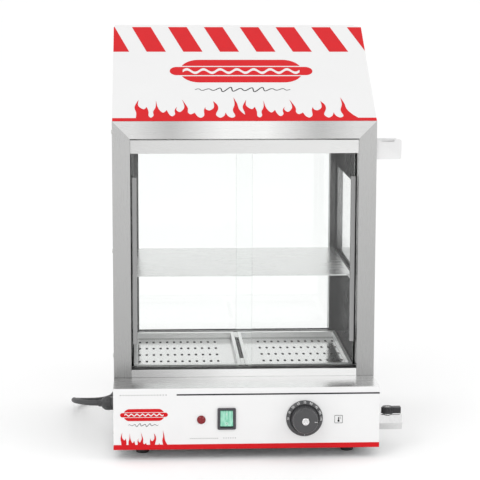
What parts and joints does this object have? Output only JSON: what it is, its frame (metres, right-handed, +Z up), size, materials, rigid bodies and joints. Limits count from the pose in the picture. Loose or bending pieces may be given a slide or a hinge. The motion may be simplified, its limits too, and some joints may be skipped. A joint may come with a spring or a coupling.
{
  "type": "hot dog steamer cabinet",
  "caption": "Countertop hot dog steamer: heated water base with drain tap, glazed cabinet with sliding doors, shelf, lift-out perforated trays and a sloping printed sign.",
  "frame": {"origin": "on the table, midway between the four feet", "axes": "+X to the machine's right as the customer faces it, +Y to the rear, +Z up; the control panel faces -Y"},
  "size_m": [0.4759, 0.5207, 0.5887],
  "materials": {
    "brushed_steel": "fine vertical brushing",
    "inner_steel": "bright-rolled inner sheet, darker in the cabinet",
    "polished_steel": "polished sheet with faint rolling lines",
    "tray_steel": "satin perforated sheet",
    "galvanised_steel": "zinc-plated",
    "white_enamel": "smooth satin powder coat",
    "red_print": "printed film",
    "black_print": "printed film",
    "foot_rubber": "moulded matt",
    "fastener_steel": "zinc-plated",
    "element_steel": "heat-tinted tube",
    "float_plastic": "moulded",
    "float_steel": "turned",
    "bulb_copper": "drawn copper",
    "knob_plastic": "fine moulded grain",
    "dial_print": "pad-printed",
    "chrome": "bright plated",
    "switch_plastic": "semi-gloss",
    "rocker_green": "translucent, lit from inside",
    "lamp_red": "translucent lens",
    "terminal_plastic": "moulded",
    "gland_plastic": "moulded",
    "cord_rubber": "smooth matt sheath",
    "plug_plastic": "fine moulded grain",
    "drain_steel": "drawn tube",
    "lever_plastic": "fine moulded grain",
    "clear_glass": "clear toughened glass",
    "guide_plastic": "extruded channel"
  },
  "bodies": {
    "housing": {"bottom_plate": "galvanised_steel", "base_housing": "brushed_steel", "front_panel": "white_enamel", "top_deck": "polished_steel", "panel_print_red": "red_print", "panel_print_black": "black_print", "rubber_feet": "foot_rubber", "foot_screws": "fastener_steel", "water_tank": "polished_steel", "tray_rails": "inner_steel", "heating_element": "element_steel", "float_stem": "float_steel", "thermostat_body": "galvanised_steel", "thermostat_bulb": "bulb_copper", "switch_housing": "switch_plastic", "indicator_lamp": "lamp_red", "terminal_block": "terminal_plastic", "cable_gland": "gland_plastic", "cord_lead": "cord_rubber", "cord_coil": "cord_rubber", "cord_tie": "gland_plastic", "plug": "plug_plastic", "drain_pipe": "drain_steel", "valve_body": "chrome", "front_frame": "brushed_steel", "rear_frame": "brushed_steel", "side_panels": "brushed_steel", "side_liners": "inner_steel", "side_windows": "clear_glass", "rear_glass": "clear_glass", "ceiling_panel": "inner_steel", "door_head_rail": "brushed_steel", "door_sill": "brushed_steel", "sill_guide": "guide_plastic", "shelf": "brushed_steel", "shelf_brackets": "brushed_steel", "sign_panel": "white_enamel", "sign_print_red": "red_print", "sign_print_black": "black_print", "sign_cheeks": "white_enamel", "roof_panel": "white_enamel", "tongs_holder": "polished_steel", "case_screws": "fastener_steel"},
    "left_door": {"left_door_glass": "clear_glass", "left_door_grip": "brushed_steel"},
    "right_door": {"right_door_glass": "clear_glass", "right_door_grip": "brushed_steel"},
    "rocker": {"switch_rocker": "rocker_green"},
    "dial": {"knob": "knob_plastic", "dial_marks": "dial_print", "knob_cap": "chrome", "thermostat_shaft": "galvanised_steel"},
    "drain_handle": {"valve_lever": "lever_plastic", "valve_ball": "chrome", "lever_screw": "fastener_steel"},
    "left_tray": {"left_tray_plate": "tray_steel", "left_tray_rim": "tray_steel"},
    "right_tray": {"right_tray_plate": "tray_steel", "right_tray_rim": "tray_steel"},
    "float": {"float_ring": "float_plastic"}
  },
  "joints": [
    {"name": "left_door_slide", "type": "slide", "parent": "housing", "child": "left_door", "axis": [1, 0, 0], "range_m": [0, 0.145]},
    {"name": "right_door_slide", "type": "slide", "parent": "housing", "child": "right_door", "axis": [-1, 0, 0], "range_m": [0, 0.145]},
    {"name": "power_rocker", "type": "hinge", "parent": "housing", "child": "rocker", "pos_m": [-0.0281, -0.184, 0.058], "axis": [1, 0, 0], "range_deg": [0, 14]},
    {"name": "thermostat_dial", "type": "hinge", "parent": "housing", "child": "dial", "pos_m": [0.0801, -0.1875, 0.0576], "axis": [0, 1, 0], "range_deg": [0, 200]},
    {"name": "drain_lever_turn", "type": "hinge", "parent": "housing", "child": "drain_handle", "pos_m": [0.203, -0.1375, 0.039], "axis": [0, 0, 1], "range_deg": [0, 90]},
    {"name": "left_tray_lift", "type": "slide", "parent": "housing", "child": "left_tray", "axis": [0, 0, 1], "range_m": [0, 0.08]},
    {"name": "right_tray_lift", "type": "slide", "parent": "housing", "child": "right_tray", "axis": [0, 0, 1], "range_m": [0, 0.08]},
    {"name": "float_rise", "type": "slide", "parent": "housing", "child": "float", "axis": [0, 0, 1], "range_m": [0, 0.015]}
  ]
}
